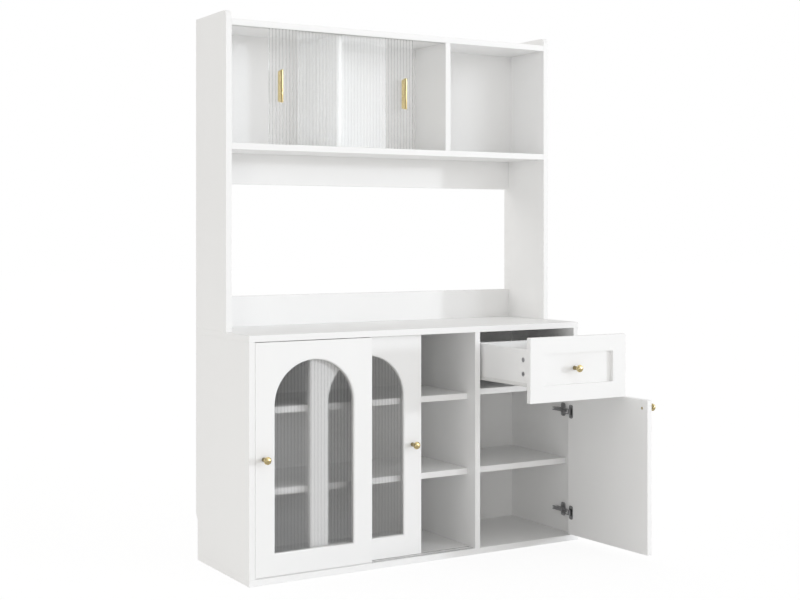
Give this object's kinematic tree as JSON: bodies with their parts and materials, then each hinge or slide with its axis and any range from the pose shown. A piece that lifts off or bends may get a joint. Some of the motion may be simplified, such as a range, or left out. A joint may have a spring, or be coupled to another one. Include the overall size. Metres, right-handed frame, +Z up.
{
  "type": "buffet cabinet",
  "caption": "White buffet cabinet with a hutch, sliding arched doors with fluted glass, sliding hutch panes, a drawer and a hinged door.",
  "frame": {"origin": "on the floor at the centre of the base's footprint", "axes": "+Z up, the fronts face -Y, +X to the right seen from the front"},
  "size_m": [1.233, 0.7658, 1.692],
  "materials": {
    "white_board": "satin white lacquer on board",
    "white_back": "smooth white hardboard",
    "fluted_glass": "fluted, slightly grey",
    "brass": "satin brushed brass",
    "hinge_steel": "dark nickel plating",
    "screw_steel": "zinc plated",
    "runner_enamel": "white powder coat",
    "roller_nylon": "white nylon",
    "track_plastic": "extruded white plastic",
    "glide_plastic": "moulded plastic",
    "bead_plastic": "extruded white plastic",
    "dowel_wood": "plain beech"
  },
  "bodies": {
    "cabinet": {"base_bottom_board": "white_board", "base_side_left": "white_board", "base_side_right": "white_board", "base_divider": "white_board", "base_countertop": "white_board", "base_back_panel": "white_back", "sliding_bay_shelf_upper": "white_board", "sliding_bay_shelf_lower": "white_board", "drawer_support_board": "white_board", "right_bay_shelf": "white_board", "sliding_track_lower": "track_plastic", "sliding_track_upper": "track_plastic", "shelf_pins": "screw_steel", "carcass_screws": "screw_steel", "carcass_dowels": "dowel_wood", "hutch_side_left": "white_board", "hutch_side_right": "white_board", "hutch_top_board": "white_board", "hutch_shelf": "white_board", "hutch_divider_middle": "white_board", "hutch_divider_right": "white_board", "hutch_back_panel": "white_back", "hutch_rail_upper": "white_board", "hutch_rail_lower": "white_board", "pane_tracks": "track_plastic", "cabinet_runner_members": "runner_enamel", "hinge_arms": "hinge_steel", "hinge_mounting_plates": "hinge_steel"},
    "front_sliding_door": {"front_door_frame": "white_board", "front_door_glass": "fluted_glass", "front_door_glass_bead": "bead_plastic", "front_door_knob": "brass", "front_door_knob_screw": "screw_steel", "front_door_glides": "glide_plastic"},
    "rear_sliding_door": {"rear_door_frame": "white_board", "rear_door_glass": "fluted_glass", "rear_door_glass_bead": "bead_plastic", "rear_door_knob": "brass", "rear_door_knob_screw": "screw_steel", "rear_door_glides": "glide_plastic"},
    "hutch_front_pane": {"front_pane_glass": "fluted_glass", "front_pane_pull": "brass"},
    "hutch_rear_pane": {"rear_pane_glass": "fluted_glass", "rear_pane_pull": "brass"},
    "drawer": {"drawer_front": "white_board", "drawer_side_left": "white_board", "drawer_side_right": "white_board", "drawer_back": "white_board", "drawer_bottom": "white_back", "drawer_knob": "brass", "drawer_fasteners": "screw_steel", "drawer_runner_members": "runner_enamel"},
    "drawer_roller_pair": {"drawer_rollers": "roller_nylon"},
    "cabinet_roller_pair": {"cabinet_rollers": "roller_nylon"},
    "hinged_door": {"hinged_door_panel": "white_board", "hinged_door_knob": "brass", "hinged_door_knob_screw": "brass", "hinge_cups": "hinge_steel"},
    "hinge_link_pair": {"hinge_links": "hinge_steel"}
  },
  "joints": [
    {"name": "front_door_slide", "type": "slide", "parent": "cabinet", "child": "front_sliding_door", "axis": [1, 0, 0], "range_m": [0, 0.14]},
    {"name": "rear_door_slide", "type": "slide", "parent": "cabinet", "child": "rear_sliding_door", "axis": [1, 0, 0], "range_m": [0, 0.187]},
    {"name": "front_pane_slide", "type": "slide", "parent": "cabinet", "child": "hutch_front_pane", "axis": [1, 0, 0], "range_m": [-0.125, 0.028]},
    {"name": "rear_pane_slide", "type": "slide", "parent": "cabinet", "child": "hutch_rear_pane", "axis": [1, 0, 0], "range_m": [-0.028, 0.115]},
    {"name": "drawer_slide", "type": "slide", "parent": "cabinet", "child": "drawer", "axis": [0, 1, 0], "range_m": [0, 0.2665]},
    {"name": "drawer_roller_spin", "type": "hinge", "parent": "drawer", "child": "drawer_roller_pair", "pos_m": [0.393, -0.1353, 0.5498], "axis": [1, 0, 0], "range_deg": [-1620, 10]},
    {"name": "cabinet_roller_spin", "type": "hinge", "parent": "cabinet", "child": "cabinet_roller_pair", "pos_m": [0.393, -0.1685, 0.545], "axis": [1, 0, 0], "range_deg": [-1620, 10]},
    {"name": "hinged_door_swing", "type": "hinge", "parent": "cabinet", "child": "hinged_door", "pos_m": [0.5759, -0.19675, 0.262], "axis": [0, 0, 1], "range_deg": [-93.3, 1]},
    {"name": "hinge_link_swing", "type": "hinge", "parent": "cabinet", "child": "hinge_link_pair", "pos_m": [0.557, -0.17, 0.262], "axis": [0, 0, 1], "range_deg": [-91, 2]}
  ],
  "couplings": [
    {"joint": "drawer_roller_spin", "follows": "drawer_slide", "rad_per_m": -105.26},
    {"joint": "cabinet_roller_spin", "follows": "drawer_slide", "rad_per_m": -105.26},
    {"joint": "hinge_link_swing", "follows": "hinged_door_swing", "ratio": 0.965}
  ]
}
